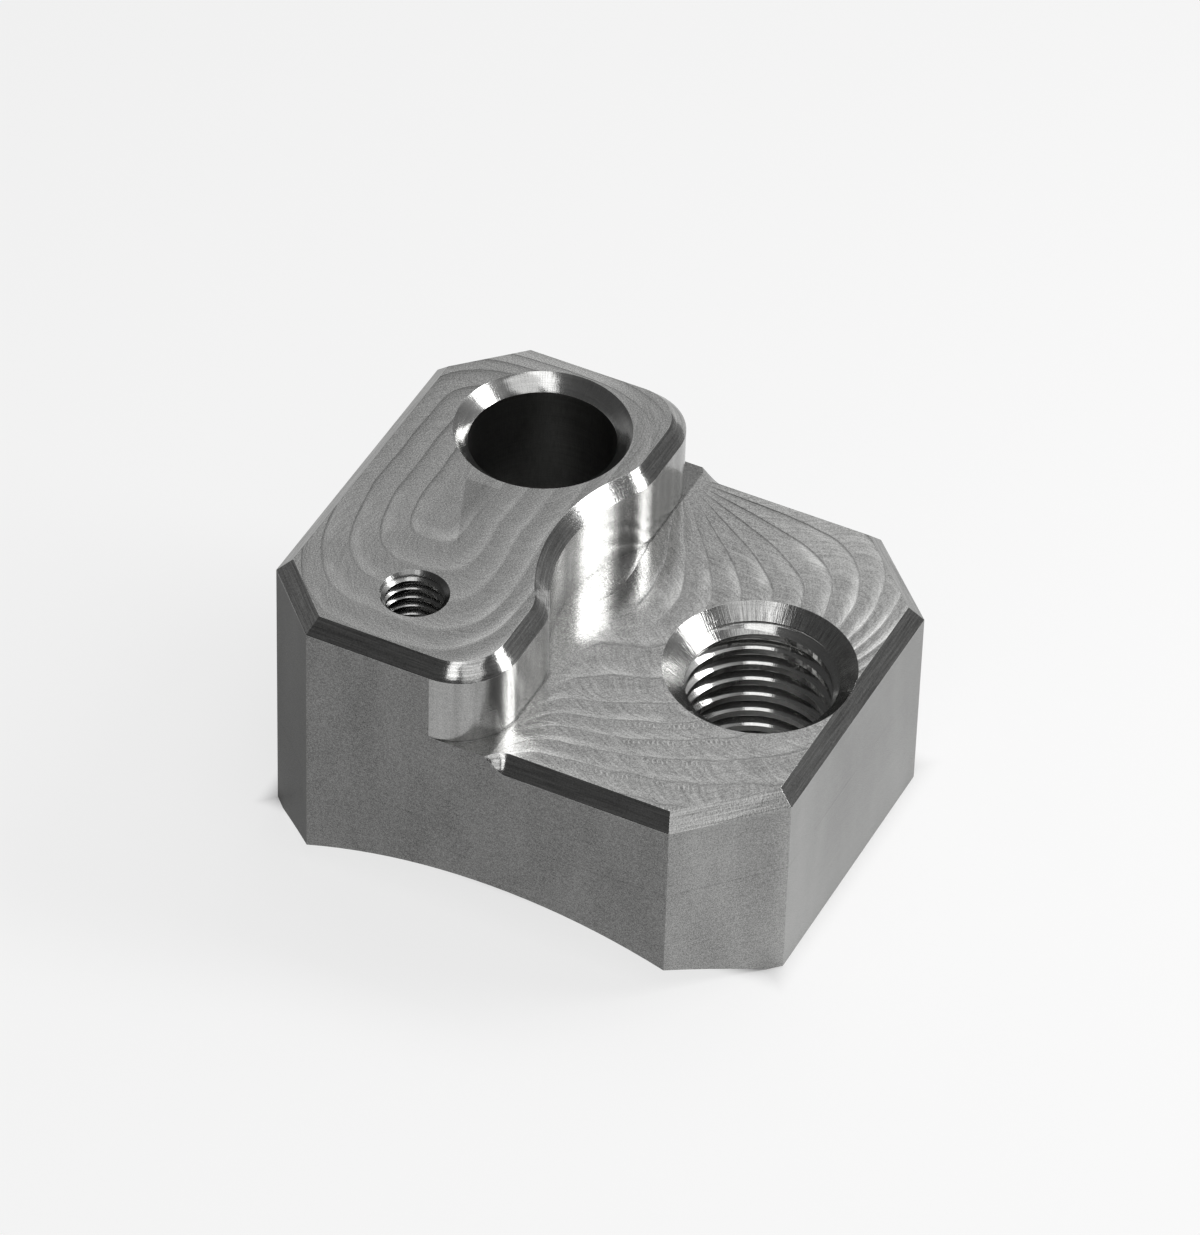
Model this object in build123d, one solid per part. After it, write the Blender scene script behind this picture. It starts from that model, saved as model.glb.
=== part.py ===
from build123d import *
import math
import os

# Sensor bung: one block milled from solid bar. It is welded by its hollowed underside to a
# round intake pipe. The high side, the boss, takes a plug-in sensor and its clamp screw; the low
# side, the platform, takes a screw-in sensor.
#
# Millimetres. +Z is up, away from the pipe. +X runs from the boss to the platform and +Y along
# the pipe. The origin is at the middle of the block, level with the two narrow feet.

# Block
block_length = 40.0
block_depth = 35.0
boss_height = 23.1
platform_height = 16.5
boss_corner_cut = 5.1
platform_corner_cut = 6.4
edge_break = 1.1

# Saddle, cut along Y to sit on the pipe
pipe_radius = 44.5
saddle_rise = 4.3

# Wall between boss and platform
wall_x = -0.6
wall_corner_radius = 4.6
recess_radius = 13.05
recess_depth = 2.45

# Run-out of the cutter that breaks the platform's edges
runout_x = 0.85
cutter_tip_radius = 0.7

# Plain bore for the plug-in sensor
bore_radius = 5.4
bore_mouth_radius = 6.5
bore_x = -9.66
bore_y = 8.9

# Tapped hole for the clamp screw, M5 x 0.8, blind
screw_drill_radius = 2.1
screw_mouth_radius = 2.5
screw_drill_depth = 14.0
screw_spacing = 20.0
drill_point_angle = 118.0

# Tapped hole for the screw-in sensor, M12 x 1.5, through
port_drill_radius = 5.3
port_mouth_radius = 7.0
port_x = 12.2
port_y = 0.0

# Cutters start this far outside the surface that they enter
overrun = 0.5


def block_outline():
    """Plan of the block: a rectangle with its four corners cut at 45 degrees."""
    half_x = block_length / 2
    half_y = block_depth / 2
    return make_face(
        Polyline(
            (-half_x + boss_corner_cut, -half_y),
            (half_x - platform_corner_cut, -half_y),
            (half_x, -half_y + platform_corner_cut),
            (half_x, half_y - platform_corner_cut),
            (half_x - platform_corner_cut, half_y),
            (-half_x + boss_corner_cut, half_y),
            (-half_x, half_y - boss_corner_cut),
            (-half_x, -half_y + boss_corner_cut),
            close=True,
        )
    )


def boss_outline():
    """Plan of the boss: the block's left part, its wall scooped in the middle and its corners rounded."""
    half_x = block_length / 2
    left_part = Pos((wall_x - half_x) / 2, 0) * Rectangle(wall_x + half_x, block_depth)
    wall_corners = left_part.vertices().group_by(Axis.X)[-1]
    rounded = fillet(wall_corners, wall_corner_radius)
    recess_x = wall_x - recess_depth + recess_radius
    scooped = rounded - Pos(recess_x, 0) * Circle(recess_radius)
    recess_end = math.sqrt(recess_radius**2 - (recess_radius - recess_depth) ** 2)
    recess_corners = scooped.vertices().filter_by(
        lambda corner: math.isclose(abs(corner.Y), recess_end, abs_tol=0.01)
    )
    return fillet(recess_corners, wall_corner_radius)


def high_block():
    """The block at the boss's height over the whole boss and the platform's height beside it."""
    platform = extrude(block_outline(), platform_height)
    boss = extrude(block_outline() & boss_outline(), boss_height)
    return platform + boss


def break_boss_edges(body):
    """Break every edge round the top of the boss at 45 degrees."""
    top = body.faces().sort_by(Axis.Z)[-1]
    return chamfer(top.outer_wire().edges(), edge_break)


def platform_edge_cutter():
    """What the edge cutter sweeps away round the platform, and the cone it leaves at each end."""
    prism = extrude(block_outline(), platform_height)
    broken = chamfer(prism.faces().sort_by(Axis.Z)[-1].edges(), edge_break)
    platform_side = Pos(runout_x + block_length / 2, 0, platform_height / 2) * Box(
        block_length, block_depth, platform_height
    )
    cutter = (prism - broken) & platform_side
    cone_height = edge_break + cutter_tip_radius + overrun
    cone = Cone(0, cone_height, cone_height)
    cone_z = platform_height + overrun - cone_height / 2
    for side in (-1, 1):
        tool_y = side * (block_depth / 2 + cutter_tip_radius)
        cutter += Pos(runout_x, tool_y, cone_z) * cone
    return cutter


def saddle_cutter():
    """The pipe itself, lying along Y under the block."""
    pipe = Cylinder(pipe_radius, block_depth + 2 * overrun, rotation=(90, 0, 0))
    return Pos(0, 0, saddle_rise - pipe_radius) * pipe


def mouth(radius, mouth_radius):
    """A 45 degree countersink, its wide end at the origin, carried on above it."""
    depth = mouth_radius - radius
    return Pos(0, 0, (overrun - depth) / 2) * Cone(
        radius, mouth_radius + overrun, depth + overrun
    )


def through_hole(radius, mouth_radius, top):
    """A drilled hole from top down into the saddle, countersunk at its mouth."""
    length = top + 2 * overrun
    drilled = Pos(0, 0, -top / 2) * Cylinder(radius, length)
    return Pos(0, 0, top) * (drilled + mouth(radius, mouth_radius))


def blind_hole(radius, mouth_radius, depth, top):
    """A hole of the given depth with a drill point, countersunk at its mouth."""
    point = radius / math.tan(math.radians(drill_point_angle / 2))
    drilled = Pos(0, 0, (overrun - depth) / 2) * Cylinder(radius, depth + overrun)
    drilled += Pos(0, 0, -depth - point / 2) * Cone(0, radius, point)
    return Pos(0, 0, top) * (drilled + mouth(radius, mouth_radius))


def bung_body():
    """The whole part, one solid."""
    body = break_boss_edges(high_block())
    body -= platform_edge_cutter()
    body -= saddle_cutter()
    bore = through_hole(bore_radius, bore_mouth_radius, boss_height)
    screw = blind_hole(
        screw_drill_radius, screw_mouth_radius, screw_drill_depth, boss_height
    )
    port = through_hole(port_drill_radius, port_mouth_radius, platform_height)
    body -= Pos(bore_x, bore_y) * bore
    body -= Pos(bore_x, bore_y - screw_spacing) * screw
    body -= Pos(port_x, port_y) * port
    return body


os.makedirs("parts", exist_ok=True)
export_step(bung_body(), "parts/bung_body.step")
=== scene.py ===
import math

import bmesh
import bpy
import numpy as np
from mathutils import Matrix, Vector


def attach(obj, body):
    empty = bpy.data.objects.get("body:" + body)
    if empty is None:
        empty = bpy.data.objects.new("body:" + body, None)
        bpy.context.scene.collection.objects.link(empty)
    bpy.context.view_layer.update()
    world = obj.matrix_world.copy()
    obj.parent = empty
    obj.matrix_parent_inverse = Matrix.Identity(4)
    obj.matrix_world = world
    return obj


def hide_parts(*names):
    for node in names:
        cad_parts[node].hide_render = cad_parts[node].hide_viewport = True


# Looks of the sensor bung, a small milled block. Metres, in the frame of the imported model.
# The block is one piece: a merged copy of its solid, its edges eased and its two threads cut.
# What describes its faces and their finishes is in millimetres.

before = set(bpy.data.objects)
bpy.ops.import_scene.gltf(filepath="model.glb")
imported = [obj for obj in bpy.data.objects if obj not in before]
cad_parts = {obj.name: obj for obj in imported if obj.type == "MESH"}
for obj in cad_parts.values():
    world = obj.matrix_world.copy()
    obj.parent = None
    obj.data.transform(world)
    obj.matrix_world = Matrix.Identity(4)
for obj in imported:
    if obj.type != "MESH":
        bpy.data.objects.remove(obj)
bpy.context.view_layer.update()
bungNode = "bung_body"
toMetres = 0.001
toMillimetres = 1000.0
print("stage: frame loaded")


# Shader maths

class Graph:
    # one material's or world's node tree, with one method that adds any node
    def __init__(self, tree):
        self.tree = tree

    def node(self, kind, settings=None, inputs=None, out=0):
        made = self.tree.nodes.new("ShaderNode" + kind)
        for name, value in (settings or {}).items():
            setattr(made, name, value)
        for name, value in (inputs or {}).items():
            if isinstance(value, Val):
                self.tree.links.new(value.socket, made.inputs[name])
            else:
                made.inputs[name].default_value = value
        return Val(self, made, out)

    def math(self, operation, *values):
        return self.node("Math", {"operation": operation}, dict(enumerate(values)))

    def finish(self, kind, shader):
        # the tree's output node, fed by the shader
        out = self.tree.nodes.new("ShaderNodeOutput" + kind)
        self.tree.links.new(shader.socket, out.inputs["Surface"])


class Val:
    # one output socket of a node, so that Python expressions add the Math nodes
    def __init__(self, graph, owner, out=0):
        self.graph = graph
        self.owner = owner
        self.socket = owner.outputs[out]

    def other(self, out):
        # another output of the same node
        return Val(self.graph, self.owner, out)

    def __add__(self, other):
        return self.graph.math("ADD", self, other)

    def __radd__(self, other):
        return self.graph.math("ADD", other, self)

    def __sub__(self, other):
        return self.graph.math("SUBTRACT", self, other)

    def __rsub__(self, other):
        return self.graph.math("SUBTRACT", other, self)

    def __mul__(self, other):
        return self.graph.math("MULTIPLY", self, other)

    def __truediv__(self, other):
        return self.graph.math("DIVIDE", self, other)

    def __neg__(self):
        return self.graph.math("MULTIPLY", self, -1.0)

    def f(self, operation, *others):
        return self.graph.math(operation, self, *others)


def smooth(value, low, high):
    # 0 at low and 1 at high, eased at both ends
    return value.graph.node(
        "MapRange", {"interpolation_type": "SMOOTHSTEP"},
        {"Value": value, "From Min": low, "From Max": high},
    )


def window(value, rise, fall):
    # 1 between the two ramps and 0 outside them
    return smooth(value, *rise) * (1.0 - smooth(value, *fall))


def newMaterial(name):
    material = bpy.data.materials.new(name)
    material.use_nodes = True
    material.node_tree.nodes.clear()
    return material, Graph(material.node_tree)


def millimetres(graph):
    # Object coordinates in millimetres, whole and as x, y, z
    place = graph.node("TexCoord", out="Object")
    scaled = graph.node("VectorMath", {"operation": "SCALE"}, {0: place, "Scale": toMillimetres})
    parts = graph.node("SeparateXYZ", inputs={0: scaled})
    return scaled, parts, parts.other(1), parts.other(2)


def stretched(graph, x, y, z):
    return graph.node("CombineXYZ", inputs={0: x, 1: y, 2: z})


def noise(graph, place, scale, detail=2.0, rough=0.5):
    return graph.node(
        "TexNoise", {"noise_dimensions": "3D"},
        {"Vector": place, "Scale": scale, "Detail": detail, "Roughness": rough},
    )


def ripple(graph, parts, scales, detail=2.0, rough=0.6):
    # noise as fine along each part as its scale says, about 0 on average
    place = stretched(graph, *(part * scale for part, scale in zip(parts, scales)))
    return noise(graph, place, 1.0, detail, rough) - 0.5


def fineGrain(graph, place, scale=11.0):
    # the speckle of cut metal, about 0 on average
    return noise(graph, place, scale, detail=2.0, rough=0.6) - 0.5


metalSettings = {"blue": 0.985, "wideRoughness": 0.42}


def finishMetal(graph, tone, roughness, height, haze=0.0, edge=1.0):
    # metal of a grey tone, very slightly warm, with a height in millimetres; haze is the share
    # of a second, wider gloss, and edge is what it reflects where it is seen nearly edge on
    bump = graph.node("Bump", inputs={"Height": height, "Distance": toMetres, "Strength": 1.0})
    color = graph.node("CombineColor", inputs={0: tone, 1: tone, 2: tone * metalSettings["blue"]})
    inputs = {
        "Base Color": color, "Metallic": 1.0, "Roughness": roughness, "Normal": bump,
        "Specular Tint": (edge, edge, edge, 1.0),
    }
    shader = graph.node("BsdfPrincipled", inputs=inputs)
    if haze:
        wider = inputs | {"Roughness": metalSettings["wideRoughness"]}
        wide = graph.node("BsdfPrincipled", inputs=wider)
        shader = graph.node("MixShader", inputs={0: haze, 1: shader, 2: wide})
    graph.finish("Material", shader)


# The block's mesh. A hole has its axis, its top, and the radii of its wall and mouth. A tapped one has
# its thread's major radius and pitch too, and its tap's low end, height above the top, steps and turn.

holes = {
    "bore": {"x": -9.66, "y": 8.9, "top": 23.1, "wall": 5.4, "mouth": 6.5},
    "screw": {"x": -9.66, "y": -11.1, "top": 23.1, "wall": 2.1, "mouth": 2.5,
              "major": 2.49, "pitch": 0.8, "low": 10.4, "above": 1.0, "around": 72, "phase": 0.0},
    "port": {"x": 12.2, "y": 0.0, "top": 16.5, "wall": 5.3, "mouth": 7.0,
             "major": 6.0, "pitch": 1.5, "low": -2.5, "above": 1.0, "around": 128, "phase": 0.6},
}
bodySettings = {
    "weld": 1e-7, "flatWithin": 0.2, "ease": 0.00004, "easeSegments": 2, "easeAngle": 25.0,
    "smoothAngle": 24.0,
}


def mergedCopy(node):
    # the node's loose triangles joined at their corners, flat neighbours made one face
    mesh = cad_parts[node].data.copy()
    work = bmesh.new()
    work.from_mesh(mesh)
    bmesh.ops.remove_doubles(work, verts=work.verts, dist=bodySettings["weld"])
    bmesh.ops.dissolve_limit(
        work, angle_limit=math.radians(bodySettings["flatWithin"]), verts=work.verts, edges=work.edges
    )
    work.to_mesh(mesh)
    work.free()
    mesh.materials.clear()
    return mesh


threadForm = {  # one pitch of an inside thread: share of the pitch, share of the depth
    "share": (0.0, 0.035, 0.07, 0.10, 0.2375, 0.375, 0.625, 0.7625, 0.90, 0.93, 0.965),
    "fall": (0.0, 0.015, 0.06, 0.12, 0.56, 1.0, 1.0, 0.56, 0.12, 0.06, 0.015),
    "depth": 0.5413,
}


def threadCutter(name, hole):
    # the tap: radius is the major one less the form's depth at (z / pitch - angle / full turn),
    # in rows that run along the helix, with a fan of triangles closing each end
    pitch, around = hole["pitch"], hole["around"]
    form, fall = np.array(threadForm["share"]), np.array(threadForm["fall"])
    steps = len(form)
    pitches = math.ceil((hole["top"] + hole["above"] - hole["low"]) / pitch)
    rowShare = (np.arange(pitches)[:, None] + form[None, :]).ravel()
    rowRadius = np.tile(hole["major"] - threadForm["depth"] * pitch * fall, pitches)
    rows = len(rowShare)
    turn = np.arange(around) / around
    z = hole["low"] + pitch * (rowShare[:, None] + turn[None, :] + hole["phase"])
    x = hole["x"] + rowRadius[:, None] * np.cos(2 * np.pi * turn)[None, :]
    y = hole["y"] + rowRadius[:, None] * np.sin(2 * np.pi * turn)[None, :]
    ends = [[hole["x"], hole["y"], z[0, 0] - pitch], [hole["x"], hole["y"], z[-1, -1] + pitch]]
    verts = np.vstack([np.stack([x, y, z], -1).reshape(-1, 3), ends]) * toMetres
    row, col = np.meshgrid(np.arange(rows - 1), np.arange(around), indexing="ij")
    lift = np.where(col == around - 1, steps, 0)
    beside = (col + 1) % around
    quads = np.stack(
        [row * around + col, (row + lift) * around + beside,
         (row + lift + 1) * around + beside, (row + 1) * around + col], -1
    )[row + lift + 1 < rows]
    lowRing = np.concatenate([np.arange(around), np.arange(steps, 0, -1) * around])
    highRing = np.concatenate(
        [(rows - 1) * around + np.arange(around), (rows - 1 - np.arange(1, steps + 1)) * around + around - 1]
    )
    lowCap = np.stack([np.full(len(lowRing), rows * around), np.roll(lowRing, -1), lowRing], -1)
    highCap = np.stack([np.full(len(highRing), rows * around + 1), highRing, np.roll(highRing, -1)], -1)
    mesh = bpy.data.meshes.new(name)
    mesh.from_pydata(verts.tolist(), [], quads.tolist() + lowCap.tolist() + highCap.tolist())
    mesh.update()
    cutter = bpy.data.objects.new(name, mesh)
    bpy.context.scene.collection.objects.link(cutter)
    return cutter


def evaluatedMesh(piece):
    graph = bpy.context.evaluated_depsgraph_get()
    return bpy.data.meshes.new_from_object(piece.evaluated_get(graph))


def finishedBody():
    mesh = mergedCopy(bungNode)
    piece = bpy.data.objects.new("bung_body_finished", mesh)
    bpy.context.scene.collection.objects.link(piece)
    ease = piece.modifiers.new("easedEdges", "BEVEL")
    ease.width = bodySettings["ease"]
    ease.segments = bodySettings["easeSegments"]
    ease.limit_method = "ANGLE"
    ease.angle_limit = math.radians(bodySettings["easeAngle"])
    cutters = [threadCutter(name + "Tap", hole) for name, hole in holes.items() if "pitch" in hole]
    for cutter in cutters:
        cut = piece.modifiers.new(cutter.name, "BOOLEAN")
        cut.operation = "DIFFERENCE"
        cut.solver = "EXACT"
        cut.use_self = True
        cut.object = cutter
    bpy.context.view_layer.update()
    done = evaluatedMesh(piece)
    piece.modifiers.clear()
    piece.data = done
    for cutter in cutters:
        bpy.data.objects.remove(cutter)
    print("stage: body cut,", len(done.polygons), "faces")
    return piece


body = finishedBody()

# Which finish each face gets, from its middle in millimetres and from where its normal points

levels = {
    "bossTop": 23.1, "platformTop": 16.5, "edgeBreak": 1.1, "belowBreak": 0.1, "wallStart": -6.0,
    "outside": 17.49, "near": 0.06, "belowTop": 0.001, "aboveCone": 0.02,
}
facing = {
    "side": 0.6, "upright": 0.1, "flat": 0.99, "down": -0.5, "outward": -0.3, "saddleUp": -0.9,
    "cone": 0.7071, "coneWithin": 0.12,
}
finishes = [
    "bossTop", "platformTop", "wall", "edgeBreak", "longSides", "leftSides", "rightSides", "saddle",
    "boreWall", "boreMouth", "screwThread", "screwMouth", "portThread", "portMouth",
]


def faceData(mesh):
    count = len(mesh.polygons)
    centre, normal = np.zeros(count * 3), np.zeros(count * 3)
    mesh.polygons.foreach_get("center", centre)
    mesh.polygons.foreach_get("normal", normal)
    return centre.reshape(-1, 3) * toMillimetres, normal.reshape(-1, 3)


def sortFaces(mesh):
    centre, normal = faceData(mesh)
    x, y, z = centre.T
    right, back, up = normal.T
    kind = np.full(len(x), finishes.index("longSides"))

    def give(name, where):
        kind[where] = finishes.index(name)

    near = levels["near"]
    # left and right faces take the shaded and lit copies of the sides' finish
    give("leftSides", right < -facing["side"])
    give("rightSides", right > facing["side"])
    give("saddle", up < facing["down"])
    upright = (np.abs(up) < facing["upright"]) & (z > levels["platformTop"])
    give("wall", upright & (np.abs(y) < levels["outside"]) & (x > levels["wallStart"]))
    lowest = levels["platformTop"] - levels["edgeBreak"] - levels["belowBreak"]
    give("edgeBreak", (up > facing["upright"]) & (z > lowest))
    flat = up > facing["flat"]
    give("bossTop", flat & (np.abs(z - levels["bossTop"]) < near))
    give("platformTop", flat & (np.abs(z - levels["platformTop"]) < near))
    for name, hole in holes.items():
        away = np.hypot(x - hole["x"], y - hole["y"])
        onTop = flat & (away > hole["wall"]) & (z > hole["top"] - near)
        towards = (right * (hole["x"] - x) + back * (hole["y"] - y)) / np.maximum(away, near)
        inside = (away < hole["mouth"] + near) & (z < hole["top"] - levels["belowTop"]) & ~onTop
        inside = inside & (towards > facing["outward"]) & (up > facing["saddleUp"])
        coneFoot = hole["top"] - (hole["mouth"] - hole["wall"]) - levels["aboveCone"]
        give(name + ("Thread" if "pitch" in hole else "Wall"), inside)
        onCone = np.abs(up - facing["cone"]) < facing["coneWithin"]
        give(name + "Mouth", inside & (z > coneFoot) & onCone)
    mesh.polygons.foreach_set("material_index", kind.astype(np.int32))
    mesh.polygons.foreach_set("use_smooth", np.ones(len(kind), bool))
    print("stage: faces sorted,", {name: int((kind == i).sum()) for i, name in enumerate(finishes)})


def sharpenTapped(mesh):
    # the tap leaves a crisp edge where it cuts a hole's mouth
    tapped = [name for name, hole in holes.items() if "pitch" in hole]
    pairs = [{finishes.index(name + "Mouth"), finishes.index(name + "Thread")} for name in tapped]
    work = bmesh.new()
    work.from_mesh(mesh)
    for edge in work.edges:
        if {face.material_index for face in edge.link_faces} in pairs:
            edge.smooth = False
    work.to_mesh(mesh)
    work.free()


# Finishes of the cut metal. Heights are in millimetres, tones are the grey of the bare metal, with painted
# light and shade in places.
# The two tops show the cutter's passes: passes counts them outward and along runs along them.

passSettings = {
    "gentlePower": 3.0, "steepPower": 12.0, "toothWidth": 0.36, "toothRadius": 5.0, "toothSpacing": 0.30,
    "toothAcross": 0.8, "nextPass": 3.7, "streakScales": (0.14, 7.0, 1.0), "streakSeed": 2.0,
    "lightRise": (0.35, 0.86), "lightFall": (0.90, 0.97), "stretchScale": 0.28, "stretch": (0.46, 0.66),
    "faintest": 0.3, "markHeight": 0.004, "hairHeight": 0.002, "grainHeight": 0.001,
    "creaseShadeFall": (0.985, 1.0),
}


def hairlines(graph, x, y, degrees, scales):
    # thin scratches that run at the angle given, about 0 on average
    turn = math.radians(degrees)
    forward = x * math.cos(turn) + y * math.sin(turn)
    sideways = y * math.cos(turn) - x * math.sin(turn)
    return ripple(graph, (forward, sideways, 0.0), scales)


def terraces(share, gentle, steep):
    # share runs from 0 to 1 across one pass of the cutter: a slow rise, then a fall at its outer edge
    made = passSettings
    slow = share * (gentle + steep) - share.f("POWER", made["gentlePower"]) * gentle
    return slow - share.f("POWER", made["steepPower"]) * steep


def toothMarks(graph, passes, along):
    # arcs of the cutter's teeth in each pass, which bend along its outer edge: about 0 on average
    made = passSettings
    share = passes.f("FRACT")
    out = 1.0 - (1.0 - share) * made["toothWidth"]
    bow = (1.0 - out * out).f("MAXIMUM", 0.0).f("SQRT") * made["toothRadius"]
    row = share * made["toothAcross"] + passes.f("FLOOR") * made["nextPass"]
    place = stretched(graph, (along + bow) / made["toothSpacing"], row, 0.0)
    return noise(graph, place, 1.0, detail=2.0, rough=0.6) - 0.5


def passStreaks(graph, passes, along):
    # thin lines that follow the passes: about 0 on average
    parts = (along, passes, passSettings["streakSeed"])
    return ripple(graph, parts, passSettings["streakScales"], detail=3.0, rough=0.65)


def passHighlight(graph, passes, place, bright):
    # a painted highlight: a bright band on the inner side of a pass's edge, on some stretches only, with a
    # sharp outer edge
    made = passSettings
    band = window(passes.f("FRACT"), made["lightRise"], made["lightFall"])
    stretch = smooth(noise(graph, place, made["stretchScale"], detail=1.0), *made["stretch"])
    return band * (stretch * (1.0 - made["faintest"]) + made["faintest"]) * bright


def toolRelief(marks, hair, grain):
    # the height of what the teeth, the scratches and the metal's grain leave
    made = passSettings
    return marks * made["markHeight"] + hair * made["hairHeight"] + grain * made["grainHeight"]


bossTopSettings = {
    "tone": 0.395, "roughness": 0.21, "gentle": 0.026, "steep": 0.005,
    "middleX": -11.78, "middleY": -1.0, "lean": 0.12, "frontY": -1.94, "backY": 6.94,
    "frontStretch": 1.62, "backStretch": 0.85, "power": 3.0, "firstPass": 0.556, "passWidth": 1.78,
    "crowdFrom": 4.0, "crowding": 0.45, "warpScale": 0.15, "warp": 0.4, "inmost": 0.3, "girth": 9.0,
    "creaseShade": 0.11, "creaseShadeRise": (0.88, 0.96), "grain": 2.4, "hair": 0.35, "hairDegrees": -52.0,
    "hairScales": (0.5, 7.0, 1.0), "marks": 0.5, "streaks": 0.15, "streakHeight": 0.004,
    "bright": 0.30, "brightFrom": (-2.0, 3.0),
    "backBright": 0.4, "backFrom": (13.0, 16.0), "leftOf": (-9.0, -4.0),
    "patchX": -12.2, "patchY": 1.6, "patchLean": 0.41, "patchDark": 0.24,
    "patchLeft": (0.0, 0.12), "patchRight": (-9.6, -9.3), "patchBack": (1.5, 1.6),
}


def bossPasses(graph, place, x, y):
    # nested ovals round the middle of the boss, drawn out to the front; they count outward
    made = bossTopSettings
    front = (made["frontY"] - y).f("MAXIMUM", 0.0)
    back = (y - made["backY"]).f("MAXIMUM", 0.0)
    across = (x - made["middleX"] - front * made["lean"]).f("ABSOLUTE")
    along = front / made["frontStretch"] + back / made["backStretch"]
    power = made["power"]
    away = (across.f("POWER", power) + along.f("POWER", power)).f("POWER", 1.0 / power)
    passes = (away - made["firstPass"]) / made["passWidth"]
    passes = passes + (passes - made["crowdFrom"]).f("MAXIMUM", 0.0) * made["crowding"]
    warp = (noise(graph, place, made["warpScale"], detail=1.0) - 0.5) * made["warp"]
    return (passes + warp).f("MAXIMUM", made["inmost"])


def bossTopFinish():
    # the passes, with painted highlights along them at the front and a painted sheen at the far left, and a
    # darker patch beside the bore
    made = bossTopSettings
    material, graph = newMaterial("bossTop")
    place, x, y, _ = millimetres(graph)
    passes = bossPasses(graph, place, x, y)
    share = passes.f("FRACT")
    # painted shade: a dark line along the outer edge of each pass
    creaseShade = window(share, made["creaseShadeRise"], passSettings["creaseShadeFall"])
    along = (y - made["middleY"]).f("ARCTAN2", x - made["middleX"]) * made["girth"]
    marks = toothMarks(graph, passes, along)
    streaks = passStreaks(graph, passes, along)
    hair = hairlines(graph, x, y, made["hairDegrees"], made["hairScales"])
    grain = fineGrain(graph, place)
    fromLine = x - made["patchX"] - (made["patchY"] - y) * made["patchLean"]
    patch = smooth(fromLine, *made["patchLeft"]) * (1.0 - smooth(x, *made["patchRight"]))
    patch = patch * (1.0 - smooth(y, *made["patchBack"]))
    speckle = grain * made["grain"] + hair * made["hair"] + marks * made["marks"] + streaks * made["streaks"]
    # painted highlights along the passes, at the front only
    light = passHighlight(graph, passes, place, made["bright"]) * smooth(-y, *made["brightFrom"])
    # painted sheen, lighter towards the far left of the top
    farLeft = smooth(y, *made["backFrom"]) * (1.0 - smooth(x, *made["leftOf"]))
    light = light + farLeft * made["backBright"]
    tone = (1.0 - creaseShade * made["creaseShade"]) * (1.0 + speckle + light) * (1.0 - patch * made["patchDark"])
    height = terraces(share, made["gentle"], made["steep"]) + toolRelief(marks, hair, grain)
    finishMetal(graph, tone * made["tone"], made["roughness"], height + streaks * made["streakHeight"])
    return material


platformTopSettings = {
    "tone": 0.435, "roughness": 0.21, "gentle": 0.04, "steep": 0.010, "creaseShade": 0.28,
    "backCreaseShade": (0.87, 0.95), "frontCreaseShade": (0.89, 0.96), "grain": 2.0, "hair": 0.4,
    "backHair": -58.0, "frontHair": 50.0, "hairScales": (0.4, 7.0, 1.0), "marks": 1.0,
    "streaks": 0.4, "streakHeight": 0.005, "shakeScale": 0.3, "shake": 0.2, "uneven": 2.2,
    "pivotX": -1.89, "pivotY": 16.06, "fanDegrees": 9.7, "fanStart": 0.3, "bendFrom": 8.9,
    "bendCubed": 0.0175, "bendPlain": 0.27, "backFrom": (-1.0, 5.0), "backReach": (1.0, 6.0),
    "sweepX": 1.11, "sweepY": -15.17, "rise": 0.05, "curl": 0.000729, "rowWidth": 1.5, "rowSpread": 0.0081,
    "liftX": -0.444, "lift": 2.5, "liftFade": 1.111, "evenRows": 3.0, "widening": 0.35,
    "frontFrom": (-0.3, 0.8), "rightOfWall": (5.0, 11.0), "leastSteps": 0.25, "nearSteps": 0.25,
    "bright": 0.65, "brightReach": (9.0, 13.0), "frontBright": 0.4, "farBright": 0.16,
    "farFrom": (17.0, 26.0), "leastLight": 0.3, "footWidth": (0.0, 0.16), "footDark": 0.45,
    "scoopEnds": (7.5, 11.0), "mirrorEnds": (0.5, 6.0), "nearRoughness": 0.17, "mirrorFlat": 0.7,
    "narrowFrom": (14.0, 14.8), "narrowTo": (0.6, 2.4), "narrowRough": 0.10, "narrowBright": 1.0,
}


def backPasses(graph, x, y):
    # passes fan out from the wall's back corner and bend down past the port; they count outward
    made = platformTopSettings
    right = x - made["pivotX"]
    down = made["pivotY"] - y
    reach = (right * right + down * down).f("SQRT")
    degrees = down.f("ARCTAN2", right) * (180.0 / math.pi)
    past = (reach - made["bendFrom"]).f("MAXIMUM", 0.0)
    bend = past.f("POWER", 3.0) * made["bendCubed"] + past * made["bendPlain"]
    return made["fanStart"] - (degrees - bend) / made["fanDegrees"], reach


def frontPasses(x, y):
    # passes leave the wall steeply, run to the right and curl up past the port; they count outward
    made = platformTopSettings
    run = x - made["sweepX"]
    first = run * made["rise"] + run * run * run * made["curl"] + made["sweepY"]
    width = run * run * made["rowSpread"] + made["rowWidth"]
    lift = ((made["liftX"] - x) / made["liftFade"]).f("EXPONENT") * made["lift"]
    row = (y - first) / width + lift
    wide = (row - made["evenRows"]).f("MAXIMUM", 0.0) * made["widening"]
    widened = (wide + 1.0).f("LOGARITHM", math.e) / made["widening"]
    return -(row.f("MINIMUM", made["evenRows"]) + widened)


fishScaleSettings = {
    "step": 0.34, "degrees": 35.0, "wobbleScale": 0.9, "wobble": 7.0, "height": 0.006, "tone": 0.6,
    "fromLeft": (5.0, 8.0), "toRight": (12.0, 15.5), "toBack": (-8.0, -6.5), "someScale": 0.8,
    "someSeed": 3.0, "some": (0.36, 0.54), "bandRise": (0.02, 0.10), "bandFall": (0.14, 0.30),
    "dot": (-0.1, 0.9), "dotMean": 0.25,
}


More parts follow.
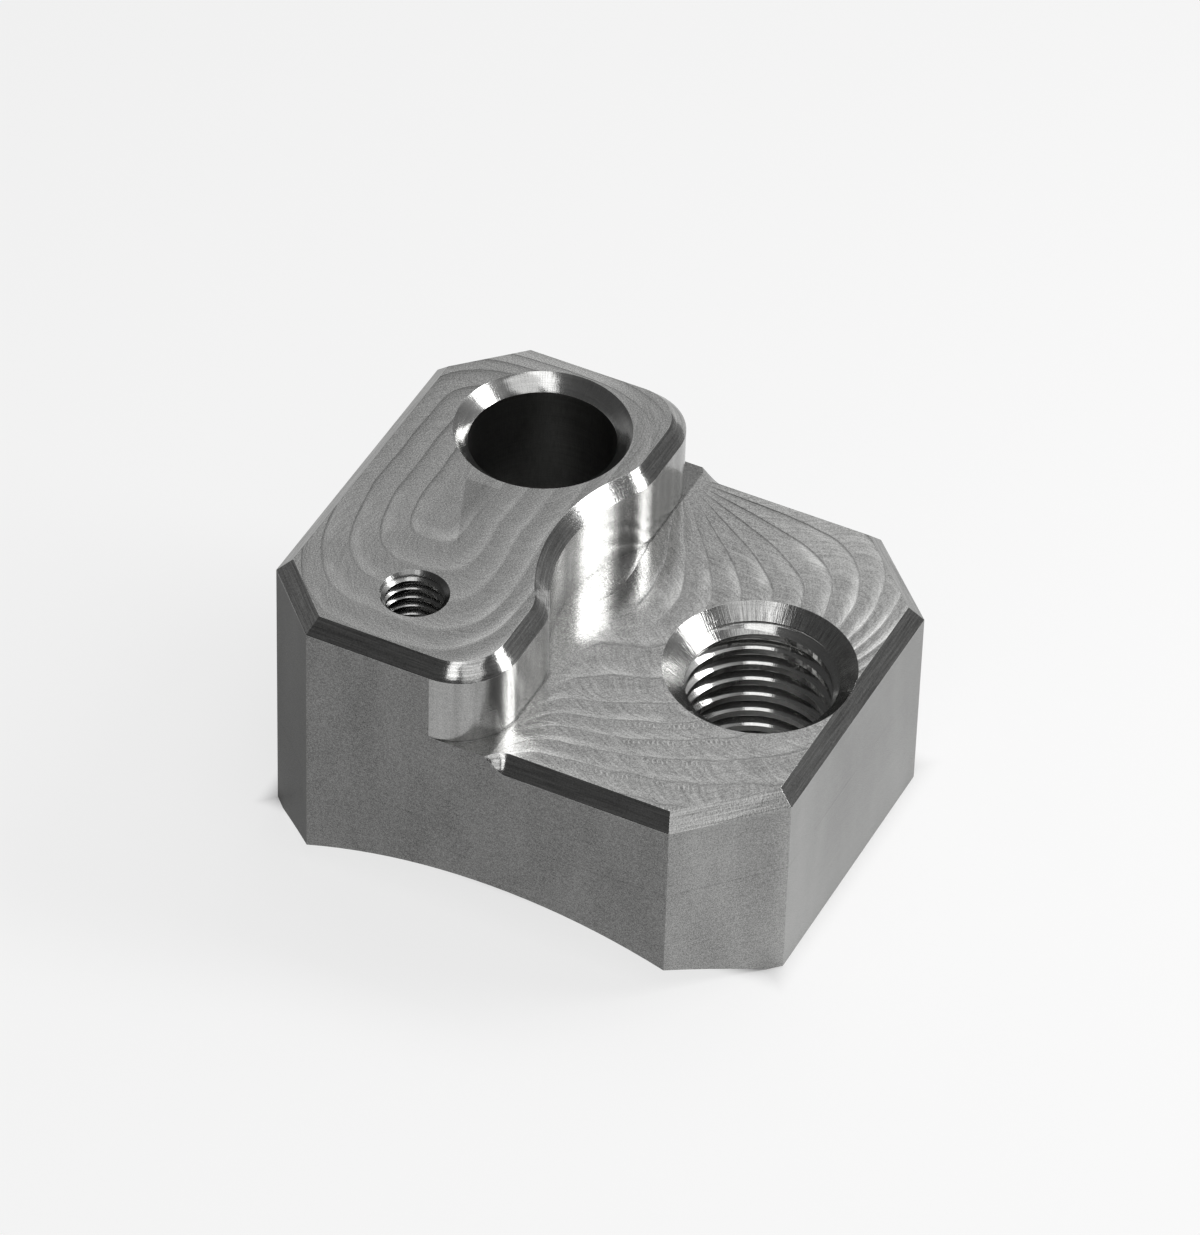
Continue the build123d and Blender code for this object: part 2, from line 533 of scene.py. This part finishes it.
def fishScales(graph, x, y, share):
    # rows of small bright dots behind each pass, in front of the port
    made = fishScaleSettings
    turn = math.radians(made["degrees"])
    wobble = noise(graph, stretched(graph, x, y, 0.0), made["wobbleScale"]) * made["wobble"]
    forward = (x * math.cos(turn) + y * math.sin(turn)) * (2.0 * math.pi / made["step"]) + wobble
    area = window(x, made["fromLeft"], made["toRight"]) * (1.0 - smooth(y, *made["toBack"]))
    some = noise(graph, stretched(graph, x, y, made["someSeed"]), made["someScale"], detail=1.0)
    band = window(share, made["bandRise"], made["bandFall"])
    dots = smooth(forward.f("SINE"), *made["dot"]) - made["dotMean"]
    return dots * area * band * smooth(some, *made["some"])


def platformTopFinish():
    # two fans of passes meet beside the port; the floor of the scoop is smoother, and the narrow part
    # in front of the boss is brighter as a painted reflection
    made = platformTopSettings
    material, graph = newMaterial("platformTop")
    place, x, y, _ = millimetres(graph)
    shake = (noise(graph, place, made["shakeScale"], detail=1.0) - 0.5) * made["shake"]
    back, reach = backPasses(graph, x, y)
    back = back + shake
    front = frontPasses(x, y) + shake * made["uneven"]
    backShare = back.f("FRACT")
    frontShare = front.f("FRACT")
    atBack = smooth(y, *made["backFrom"])
    atFront = (1.0 - atBack) * smooth(x, *made["frontFrom"])
    atBack = atBack * smooth(reach, *made["backReach"])
    nearWall = 1.0 - smooth(x, *made["rightOfWall"])
    frontSteps = atFront * (nearWall * made["nearSteps"] + made["leastSteps"])
    steps = terraces(backShare, made["gentle"], made["steep"]) * atBack
    steps = steps + terraces(frontShare, made["gentle"], made["steep"]) * frontSteps
    # painted shade: a dark line along the outer edge of each pass
    creaseShade = window(backShare, made["backCreaseShade"], passSettings["creaseShadeFall"]) * atBack
    creaseShade = creaseShade + window(frontShare, made["frontCreaseShade"], passSettings["creaseShadeFall"]) * atFront
    marks = toothMarks(graph, back, reach) * atBack + toothMarks(graph, front, x) * atFront
    streaks = passStreaks(graph, back, reach) * atBack + passStreaks(graph, front, x) * atFront
    # painted highlights along the passes
    light = passHighlight(graph, back, place, made["bright"]) * atBack * smooth(reach, *made["brightReach"])
    frontLight = atFront * (nearWall * (1.0 - made["leastLight"]) + made["leastLight"])
    light = light + passHighlight(graph, front, place, made["frontBright"]) * frontLight
    # painted highlight towards the back right of the platform
    farther = smooth(x + y, *made["farFrom"]) * made["farBright"]
    scales = fishScales(graph, x, y, frontShare) * atFront
    hair = hairlines(graph, x, y, made["backHair"], made["hairScales"]) * atBack
    hair = hair + hairlines(graph, x, y, made["frontHair"], made["hairScales"]) * atFront
    grain = fineGrain(graph, place)
    fromWall = wallDistance(x, y)
    # painted shade along the wall's foot
    foot = (1.0 - smooth(fromWall, *made["footWidth"])) * footLine(graph, place, y)
    speckle = grain * made["grain"] + hair * made["hair"] + marks * made["marks"] * (light + 1.0)
    speckle = speckle + streaks * made["streaks"] + scales * fishScaleSettings["tone"]
    # painted reflection: the narrow part in front of the boss is made lighter
    narrow = smooth(-y, *made["narrowFrom"]) * (1.0 - smooth(x, *made["narrowTo"]))
    tone = (1.0 + speckle + light + farther) * made["tone"]
    tone = tone * (1.0 - creaseShade * made["creaseShade"]) * (1.0 - foot * made["footDark"])
    tone = tone * (1.0 + narrow * made["narrowBright"])
    mirror = 1.0 - smooth(fromWall, *made["mirrorEnds"])
    mirror = mirror * (1.0 - smooth(y.f("ABSOLUTE"), *made["scoopEnds"]))
    height = scales * fishScaleSettings["height"] + toolRelief(marks, hair, grain)
    height = steps + (height + streaks * made["streakHeight"]) * (1.0 - mirror * made["mirrorFlat"])
    roughness = mirror * (made["nearRoughness"] - made["roughness"]) + made["roughness"]
    finishMetal(graph, tone, roughness + narrow * made["narrowRough"], height)
    return material


wallSettings = {
    "tone": 0.33, "roughness": 0.13, "haze": 0.25, "x": -0.6, "scoopX": 10.0, "scoopRadius": 13.05,
    "lineScales": (0.3, 0.3, 12.0), "lines": 0.3, "lineHeight": 0.007, "grain": 1.2, "grainHeight": 0.0006,
    "waveScales": (0.5, 0.5, 0.12), "waveHeight": 0.003, "streakScales": (1.3, 1.3, 0.06), "streaks": 0.7,
    "foot": (16.5, 16.72), "footDark": 0.5, "brokenScale": 0.7, "broken": (0.50, 0.62), "brokenDark": 0.35,
    "leastDark": 0.05, "outside": (6.5, 8.5),
    "wallSheen": 0.6, "wallSheenSides": (2.0, 6.0), "wallSheenUp": (15.5, 20.0),
}


def wallDistance(x, y):
    # how far a place on the platform lies from the foot of the wall
    made = wallSettings
    right = x - made["scoopX"]
    scoop = made["scoopRadius"] - (right * right + y * y).f("SQRT")
    return scoop.f("MAXIMUM", x - made["x"])


def footLine(graph, place, y):
    # how strong the painted shade along the wall's foot is: broken up in the scoop
    made = wallSettings
    broken = smooth(noise(graph, place, made["brokenScale"]), *made["broken"])
    outside = smooth(y.f("ABSOLUTE"), *made["outside"])
    return (broken * made["brokenDark"] + made["leastDark"]) * (1.0 - outside) + outside


def wallFinish():
    # cut by the side of the cutter: fine level lines, soft upright streaks, a painted shade line along the
    # foot, and a painted sheen high in the middle of the scoop
    made = wallSettings
    material, graph = newMaterial("wall")
    place, x, y, z = millimetres(graph)
    lines = ripple(graph, (x, y, z), made["lineScales"])
    waves = ripple(graph, (x, y, z), made["waveScales"], detail=1.0, rough=0.5)
    streaks = ripple(graph, (x, y, z), made["streakScales"])
    grain = fineGrain(graph, place)
    # painted shade along the foot
    foot = (1.0 - smooth(z, *made["foot"])) * footLine(graph, place, y)
    # painted sheen: lighter tone high in the middle of the scoop
    middle = 1.0 - smooth(y.f("ABSOLUTE"), *made["wallSheenSides"])
    wallSheen = middle * smooth(z, *made["wallSheenUp"]) * made["wallSheen"]
    speckle = grain * made["grain"] + lines * made["lines"] + streaks * made["streaks"]
    tone = (1.0 + speckle) * (1.0 - foot * made["footDark"]) * (1.0 + wallSheen) * made["tone"]
    height = lines * made["lineHeight"] + waves * made["waveHeight"] + grain * made["grainHeight"]
    finishMetal(graph, tone, made["roughness"], height, made["haze"])
    return material


edgeBreakSettings = {
    "tone": 0.48, "roughness": 0.14, "haze": 0.03, "edge": 0.6, "grain": 1.2, "grainHeight": 0.0006,
    "lineScales": (0.25, 0.25, 11.0), "lines": 1.5, "lineHeight": 0.003,
    "chatterScales": (6.0, 6.0, 0.5), "chatter": 0.4, "chatterHeight": 0.004,
}


def edgeBreakFinish():
    # fine lines along the edge, which are level lines, and a little chatter across them
    made = edgeBreakSettings
    material, graph = newMaterial("edgeBreak")
    place, x, y, z = millimetres(graph)
    lines = ripple(graph, (x, y, z), made["lineScales"])
    chatter = ripple(graph, (x, y, z), made["chatterScales"])
    grain = fineGrain(graph, place)
    tone = 1.0 + grain * made["grain"] + lines * made["lines"] + chatter * made["chatter"]
    height = lines * made["lineHeight"] + chatter * made["chatterHeight"] + grain * made["grainHeight"]
    finishMetal(graph, tone * made["tone"], made["roughness"], height, made["haze"], made["edge"])
    return material


# The three sides are one finish painted lighter or darker by how light falls: the left and long sides carry
# painted shade, the right side painted light, in tone and edge tint.
sidesSettings = {
    "longSides": {"tone": 0.192, "roughness": 0.38, "edge": 0.6, "nearBright": 0.0},
    "leftSides": {"tone": 0.155, "roughness": 0.38, "edge": 0.49, "nearBright": 0.0},
    "rightSides": {"tone": 0.295, "roughness": 0.36, "edge": 1.0, "nearBright": 0.14},
}
sidesShared = {
    "grainScale": 15.0, "grain": 2.6, "grainHeight": 0.0015,
    "brushScales": (1.6, 1.6, 7.0), "brush": 0.3, "brushHeight": 0.002,
    "scratchScales": (0.12, 0.12, 9.0), "scratch": 0.3, "scratchHeight": 0.0012,
    "deepFrom": (0.16, 0.24), "deep": 0.15, "deepHeight": 0.001,
    "cloudScales": (0.28, 0.28, 0.09), "cloud": 0.6, "cloudRough": 0.1,
    "scoreLevel": 8.9, "scoreRise": 0.04, "scoreWidth": (0.03, 0.09), "score": 0.16,
    "scoreScale": 0.15, "scoreSome": (0.40, 0.55), "lowTo": (0.0, 9.0), "low": 0.08,
    "nearFrom": (2.0, 9.0), "nearTo": (11.0, 12.0),
}


def sidesFinish(name):
    # milled sides: grain, level brush lines, a few long level scratches and one broken score, slow
    # changes of tone, and a slightly lighter foot; the right side gets painted light towards the front too
    made = sidesShared | sidesSettings[name]
    material, graph = newMaterial(name)
    place, x, y, z = millimetres(graph)
    grain = fineGrain(graph, place, made["grainScale"])
    brush = ripple(graph, (x, y, z), made["brushScales"])
    scratch = ripple(graph, (x, y, z), made["scratchScales"], detail=3.0, rough=0.7)
    cloud = ripple(graph, (x, y, z), made["cloudScales"], detail=2.0, rough=0.5)
    deep = smooth(scratch, *made["deepFrom"])
    fromScore = (z - (x * made["scoreRise"] + made["scoreLevel"])).f("ABSOLUTE")
    some = noise(graph, stretched(graph, x, y, 0.0), made["scoreScale"], detail=1.0)
    score = (1.0 - smooth(fromScore, *made["scoreWidth"])) * smooth(some, *made["scoreSome"])
    low = 1.0 - smooth(z, *made["lowTo"])
    # painted light on the right side towards the front
    near = window(-y, made["nearFrom"], made["nearTo"])
    tone = 1.0 + grain * made["grain"] + brush * made["brush"] + scratch * made["scratch"]
    tone = tone + cloud * made["cloud"] - deep * made["deep"] - score * made["score"]
    tone = tone + low * made["low"] + near * made["nearBright"]
    height = grain * made["grainHeight"] + brush * made["brushHeight"]
    height = height + scratch * made["scratchHeight"] - deep * made["deepHeight"]
    roughness = cloud * made["cloudRough"] + made["roughness"]
    finishMetal(graph, tone * made["tone"], roughness, height, 0.0, made["edge"])
    return material


saddleSettings = {
    "tone": 0.48, "roughness": 0.3, "grain": 0.8, "grainHeight": 0.001,
    "lineScales": (6.0, 0.15, 2.0), "lines": 0.5, "lineHeight": 0.004, "lineRough": 0.1,
}


def saddleFinish():
    # cut along the pipe: lines that run along Y
    made = saddleSettings
    material, graph = newMaterial("saddle")
    place, x, y, z = millimetres(graph)
    grain = fineGrain(graph, place)
    lines = ripple(graph, (x, y, z), made["lineScales"])
    tone = (1.0 + grain * made["grain"] + lines * made["lines"]) * made["tone"]
    height = lines * made["lineHeight"] + grain * made["grainHeight"]
    finishMetal(graph, tone, lines * made["lineRough"] + made["roughness"], height)
    return material


turnedSettings = {
    # the bore's wall is painted darker than its mouth, as shade inside the hole
    "boreWall": {"tone": 0.27, "roughness": 0.3, "chatter": 0.6},
    "boreMouth": {"tone": 0.56, "roughness": 0.14, "chatter": 0.6},
    "screwThread": {"tone": 0.34, "roughness": 0.16, "chatter": 0.6},
    "screwMouth": {"tone": 0.30, "roughness": 0.20, "chatter": 0.6},
    "portThread": {"tone": 0.48, "roughness": 0.075, "chatter": 0.35},
    "portMouth": {"tone": 0.47, "roughness": 0.16, "chatter": 1.9},
}
turnedShared = {
    "haze": 0.15, "grain": 0.6, "grainHeight": 0.0005, "lineScales": (12.0, 6.0, 1.0), "lines": 0.6,
    "lineHeight": 0.0018, "chatterSteps": 75.0, "chatterUp": 0.8, "chatterHeight": 0.007,
}


def turnedFinish(name, holeName):
    # lines round the hole's axis, along the helix where it is tapped, and chatter across them
    hole = holes[holeName]
    made = turnedShared | turnedSettings[name]
    material, graph = newMaterial(name)
    place, x, y, z = millimetres(graph)
    turns = (y - hole["y"]).f("ARCTAN2", x - hole["x"]) / (2.0 * math.pi)
    climb = z - turns * hole.get("pitch", 0.0)
    lines = ripple(graph, (climb, turns, 0.0), made["lineScales"])
    around = hole["wall"] * made["chatterSteps"]
    chatter = ripple(graph, (turns, z, 0.0), (around, made["chatterUp"], 1.0)) * made["chatter"]
    grain = fineGrain(graph, place)
    tone = (1.0 + grain * made["grain"] + lines * made["lines"] + chatter) * made["tone"]
    height = lines * made["lineHeight"] + chatter * made["chatterHeight"] + grain * made["grainHeight"]
    finishMetal(graph, tone, made["roughness"], height, made["haze"])
    return material


def makeFinish(name):
    makers = {
        "bossTop": bossTopFinish, "platformTop": platformTopFinish, "wall": wallFinish,
        "edgeBreak": edgeBreakFinish, "saddle": saddleFinish,
    }
    if name in makers:
        return makers[name]()
    if name in sidesSettings:
        return sidesFinish(name)
    return turnedFinish(name, next(hole for hole in holes if name.startswith(hole)))


sortFaces(body.data)
for name in finishes:
    body.data.materials.append(makeFinish(name))
body.data.set_sharp_from_angle(angle=math.radians(bodySettings["smoothAngle"]))
sharpenTapped(body.data)
weigh = body.modifiers.new("normalsByArea", "WEIGHTED_NORMAL")
weigh.keep_sharp = True
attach(body, "root")
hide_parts(bungNode)
print("stage: finishes made")

# Camera, at the photo's angle

cameraView = {
    "aim": (-0.002418, 0.004160, 0.011694), "azimuth": 25.287, "elevation": 41.990, "roll": 1.761,
    "distance": 0.562213, "lens": 226.795, "sensor": 36.0, "nearest": 0.01,
}


def stand(thing, side, up, back, at):
    # sets a camera or lamp at a place, its own x, y and z along the three directions
    thing.matrix_world = Matrix.Translation(at) @ Matrix((side, up, back)).transposed().to_4x4()
    bpy.context.scene.collection.objects.link(thing)


def addCamera():
    turn, lift, roll = (math.radians(cameraView[k]) for k in ("azimuth", "elevation", "roll"))
    back = Vector((math.sin(turn) * math.cos(lift), -math.cos(turn) * math.cos(lift), math.sin(lift)))
    right = Vector((math.cos(turn), math.sin(turn), 0.0))
    up = back.cross(right)
    side = right * math.cos(roll) + up * math.sin(roll)
    top = up * math.cos(roll) - right * math.sin(roll)
    camera = bpy.data.objects.new("camera", bpy.data.cameras.new("camera"))
    camera.data.lens = cameraView["lens"]
    camera.data.sensor_width = cameraView["sensor"]
    camera.data.clip_start = cameraView["nearest"]
    stand(camera, side, top, back, Vector(cameraView["aim"]) + back * cameraView["distance"])
    bpy.context.scene.camera = camera


addCamera()

# Studio: a leaning strip to the right, a long panel overhead towards the camera, a dim one between
# them, a soft glow high at the back and a faint one round the horizon. A panel faces its turn and lift.
# The floor glows to the camera and in reflections; the glow fades out under the block as painted shadow.

studio = {
    "panels": {
        "strip": {"centre": (0.135, 0.090, 0.155), "turn": 20.0, "lift": 24.0, "roll": -36.0,
                  "width": 0.052, "length": 0.165, "glow": 9.5},
        "overhead": {"centre": (0.041, -0.110, 0.213), "turn": 0.0, "lift": 90.0, "roll": -90.0,
                     "width": 0.062, "length": 0.23, "glow": 1.9},
        "between": {"centre": (0.146, -0.112, 0.213), "turn": 0.0, "lift": 90.0, "roll": -60.0,
                    "width": 0.140, "length": 0.18, "glow": 0.92},
    },
    "worldLow": 0.075, "horizon": 0.16, "horizonEdge": (0.08, 0.42),
    "worldHigh": 1.08, "glowTowards": (0.06, 0.50, 0.864), "glowEdge": (0.76, 1.0),
    "floorGrey": 0.93, "floorGlow": 0.74, "floorSize": 6.0,
    "blockX": 19.0, "blockY": 11.5, "glowFade": (0.0, 2.5),
}


def addPanel(name, spec):
    turn, lift, roll = (math.radians(spec[k]) for k in ("turn", "lift", "roll"))
    back = Vector((math.cos(turn) * math.cos(lift), math.sin(turn) * math.cos(lift), math.sin(lift)))
    level = Vector((-math.sin(turn), math.cos(turn), 0.0))
    steep = back.cross(level)
    side = level * math.cos(roll) + steep * math.sin(roll)
    along = steep * math.cos(roll) - level * math.sin(roll)
    light = bpy.data.lights.new(name, "AREA")
    light.shape = "RECTANGLE"
    light.size = spec["width"]
    light.size_y = spec["length"]
    light.energy = spec["glow"] * math.pi * light.size * light.size_y
    stand(bpy.data.objects.new(name, light), side, along, back, Vector(spec["centre"]))


def addWorld():
    world = bpy.data.worlds.new("world")
    bpy.context.scene.world = world
    world.use_nodes = True
    world.node_tree.nodes.clear()
    sky = Graph(world.node_tree)
    direction = sky.node("TexCoord", out="Generated")
    towards = Vector(studio["glowTowards"]).normalized()
    near = sky.node("VectorMath", {"operation": "DOT_PRODUCT"}, {0: direction, 1: towards}, out="Value")
    up = sky.node("SeparateXYZ", inputs={0: direction}, out=2)
    high = smooth(near, *studio["glowEdge"]) * studio["worldHigh"]
    low = (1.0 - smooth(up, *studio["horizonEdge"])) * studio["horizon"]
    level = high + low + studio["worldLow"]
    color = sky.node("CombineColor", inputs={0: level, 1: level, 2: level})
    sky.finish("World", sky.node("Background", inputs={"Color": color}))


def addFloor():
    half = studio["floorSize"] / 2
    mesh = bpy.data.meshes.new("floor")
    corners = [(-half, -half, 0), (half, -half, 0), (half, half, 0), (-half, half, 0)]
    mesh.from_pydata(corners, [], [(0, 1, 2, 3)])
    floor = bpy.data.objects.new("floor", mesh)
    bpy.context.scene.collection.objects.link(floor)
    material, graph = newMaterial("floor")
    grey = studio["floorGrey"]
    matt = graph.node("BsdfDiffuse", inputs={"Color": (grey, grey, grey, 1.0)})
    white = graph.node("Emission", inputs={"Strength": 1.0})
    path = graph.node("LightPath", out="Is Camera Ray")
    seen = path + path.other("Is Glossy Ray") + path.other("Is Transmission Ray")
    _, x, y, _ = millimetres(graph)
    # painted shadow: the floor's glow fades out under the block
    fromBlock = (x.f("ABSOLUTE") - studio["blockX"]).f("MAXIMUM", y.f("ABSOLUTE") - studio["blockY"])
    glow = seen.f("MINIMUM", 1.0) * smooth(fromBlock, *studio["glowFade"]) * studio["floorGlow"]
    graph.finish("Material", graph.node("MixShader", inputs={0: glow, 1: matt, 2: white}))
    mesh.materials.append(material)


for name, spec in studio["panels"].items():
    addPanel(name, spec)
addWorld()
addFloor()
bpy.context.scene.view_settings.view_transform = "Standard"
print("stage: studio set")
